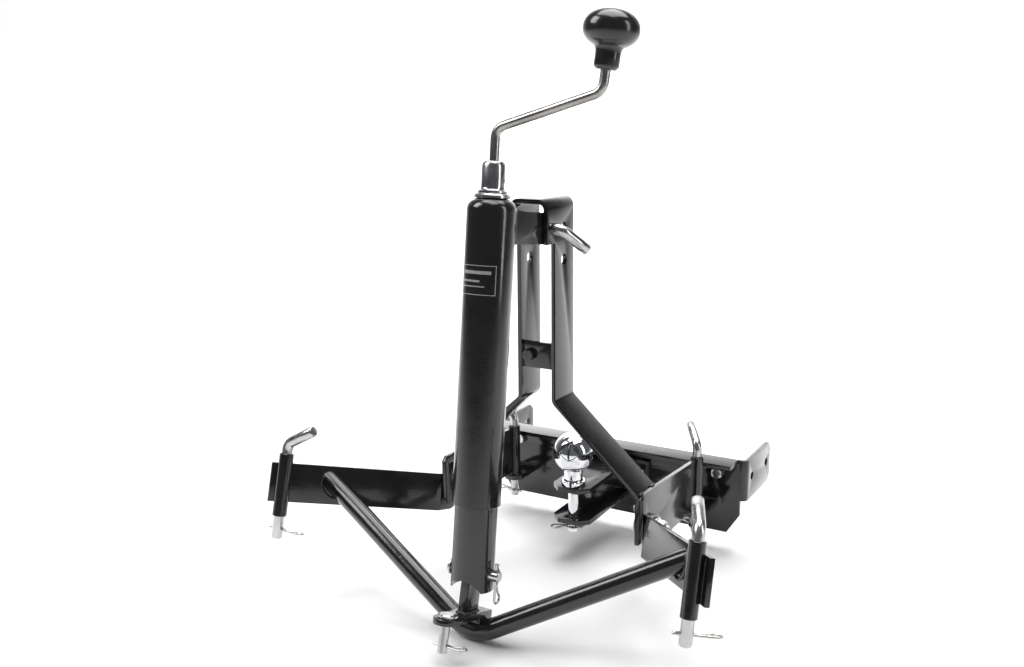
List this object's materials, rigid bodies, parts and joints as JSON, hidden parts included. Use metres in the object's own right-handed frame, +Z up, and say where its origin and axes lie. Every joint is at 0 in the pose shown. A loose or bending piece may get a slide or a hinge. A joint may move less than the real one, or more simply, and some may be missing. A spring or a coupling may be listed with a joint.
{
  "type": "mower lift hitch with crank jack",
  "caption": "Rear lift hitch for a ride-on mower: inverted-U mast with a crank screw jack, hinged lifting frame with pinned sleeves and a V tube, beam bracket with ears and a tow ball.",
  "frame": {"origin": "centre of the beam bracket's rear face, where it meets the back of the mower", "axes": "+Z up, +Y towards the mower, +X to the right as seen from behind the mower looking forward along +Y"},
  "size_m": [0.5445, 0.5113, 0.6463],
  "materials": {
    "black_paint": "gloss black stoved paint over steel",
    "zinc_plate": "bright zinc plate",
    "chrome_ball": "polished chrome",
    "knob_black": "smooth moulded black plastic",
    "crank_steel": "bright drawn bar, slightly tarnished",
    "plain_steel": "oiled plain steel",
    "spring_wire": "zinc-plated spring wire"
  },
  "bodies": {
    "hitch": {"mower_beam": "black_paint", "beam_bolts": "zinc_plate", "beam_nuts": "zinc_plate", "pin_tabs": "black_paint", "rear_sleeve_left": "black_paint", "rear_sleeve_right": "black_paint", "side_plate_left": "black_paint", "side_plate_right": "black_paint", "mast_hoop": "black_paint", "mast_brace": "black_paint", "brace_bolt": "zinc_plate", "brace_nut": "zinc_plate", "ball_bracket": "black_paint", "bracket_bolts": "zinc_plate", "bracket_nuts": "zinc_plate", "pivot_bolts": "zinc_plate", "pivot_washers": "zinc_plate", "pivot_nuts": "zinc_plate"},
    "tow_ball_pin": {"tow_ball": "chrome_ball", "ball_clip": "spring_wire"},
    "left_rear_pin": {"rear_pin_left": "zinc_plate", "rear_clip_left": "spring_wire"},
    "right_rear_pin": {"rear_pin_right": "zinc_plate", "rear_clip_right": "spring_wire"},
    "upper_jack_pin": {"mast_pin": "zinc_plate", "mast_clip": "spring_wire"},
    "lifting_frame": {"arm_left": "black_paint", "arm_right": "black_paint", "front_sleeve_left": "black_paint", "front_sleeve_right": "black_paint", "v_tube": "black_paint", "jack_lug": "black_paint", "tongue_plate": "black_paint"},
    "left_front_pin": {"front_pin_left": "zinc_plate", "front_clip_left": "spring_wire"},
    "right_front_pin": {"front_pin_right": "zinc_plate", "front_clip_right": "spring_wire"},
    "drawbar_pin": {"tongue_pin": "zinc_plate", "tongue_clip": "spring_wire"},
    "jack": {"jack_outer_tube": "black_paint", "jack_mount_lug": "black_paint", "jack_collar": "zinc_plate", "thrust_bearing": "plain_steel"},
    "ram": {"jack_inner_tube": "black_paint", "jack_nut": "plain_steel"},
    "lower_jack_pin": {"clevis_pin": "zinc_plate", "clevis_clip": "spring_wire"},
    "crank": {"jack_screw": "plain_steel", "jack_hub": "zinc_plate", "hub_pin": "plain_steel", "crank_rod": "crank_steel"},
    "crank_knob": {"knob": "knob_black"}
  },
  "joints": [
    {"name": "crank_turn", "type": "hinge", "parent": "jack", "child": "crank", "pos_m": [0, -0.3046, 0.394], "axis": [0, 0.1298, 0.9915], "range_deg": [-1080, 3240]},
    {"name": "ram_slide", "type": "slide", "parent": "jack", "child": "ram", "axis": [0, -0.1298, -0.9915], "range_m": [-0.0181, 0.0541]},
    {"name": "frame_pitch", "type": "hinge", "parent": "hitch", "child": "lifting_frame", "pos_m": [0, -0.193, 0.024], "axis": [1, 0, 0], "range_deg": [-7.3, 21.9]},
    {"name": "jack_swing", "type": "hinge", "parent": "hitch", "child": "jack", "pos_m": [0, -0.21906, 0.35406], "axis": [1, 0, 0], "range_deg": [-1.1, 3.2]},
    {"name": "knob_spin", "type": "hinge", "parent": "crank", "child": "crank_knob", "pos_m": [0.11957, -0.28566, 0.53861], "axis": [0.0872, 0.1293, 0.9878], "continuous": true},
    {"name": "upper_pin_swivel", "type": "hinge", "parent": "hitch", "child": "upper_jack_pin", "pos_m": [0, -0.219, 0.354], "axis": [1, 0, 0], "continuous": true},
    {"name": "lower_pin_swivel", "type": "hinge", "parent": "ram", "child": "lower_jack_pin", "pos_m": [0, -0.35514, 0.008], "axis": [1, 0, 0], "continuous": true},
    {"name": "left_rear_swivel", "type": "hinge", "parent": "hitch", "child": "left_rear_pin", "pos_m": [-0.13, -0.04475, 0.03], "axis": [0, 0, 1], "continuous": true},
    {"name": "right_rear_swivel", "type": "hinge", "parent": "hitch", "child": "right_rear_pin", "pos_m": [0.13, -0.04475, 0.03], "axis": [0, 0, 1], "continuous": true},
    {"name": "left_front_swivel", "type": "hinge", "parent": "lifting_frame", "child": "left_front_pin", "pos_m": [-0.24844, -0.36811, 0.06225], "axis": [0, 0.2622, 0.965], "continuous": true},
    {"name": "right_front_swivel", "type": "hinge", "parent": "lifting_frame", "child": "right_front_pin", "pos_m": [0.24844, -0.36811, 0.06225], "axis": [0, 0.2622, 0.965], "continuous": true},
    {"name": "drawbar_pin_swivel", "type": "hinge", "parent": "lifting_frame", "child": "drawbar_pin", "pos_m": [0, -0.40827, -0.02839], "axis": [0, 0.2622, 0.965], "continuous": true},
    {"name": "tow_ball_swivel", "type": "hinge", "parent": "hitch", "child": "tow_ball_pin", "pos_m": [0, -0.1233, 0], "axis": [0, 0, 1], "continuous": true}
  ],
  "couplings": [
    {"joint": "ram_slide", "follows": "crank_turn", "m_per_rad": 0.00095493},
    {"joint": "frame_pitch", "follows": "crank_turn", "ratio": 0.00674},
    {"joint": "jack_swing", "follows": "crank_turn", "ratio": 0.00097056}
  ]
}
